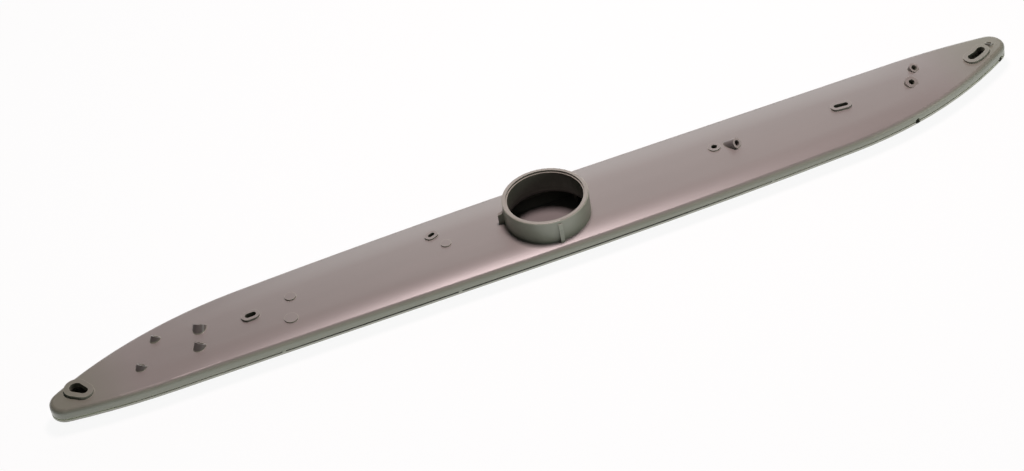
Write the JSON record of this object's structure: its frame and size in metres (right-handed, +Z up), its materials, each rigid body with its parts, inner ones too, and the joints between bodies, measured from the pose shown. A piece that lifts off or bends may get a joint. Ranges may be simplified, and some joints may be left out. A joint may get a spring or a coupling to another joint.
{
  "type": "dishwasher spray arm",
  "caption": "Long sabre-shaped hollow spray arm in grey plastic with a raised round hub collar, round and slot jets along its crowned top, and an open weld seam round its side.",
  "frame": {"origin": "on the hub axis, in the plane of the underside that the arm rests on", "axes": "+X along the arm's length, +Z up along the hub axis, out of the collar's mouth"},
  "size_m": [0.4682, 0.0572, 0.022],
  "materials": {
    "upper_plastic": "satin moulded polypropylene",
    "lower_plastic": "satin moulded polypropylene"
  },
  "bodies": {
    "root": {"upper_shell": "upper_plastic", "lower_shell": "lower_plastic"}
  },
  "joints": []
}
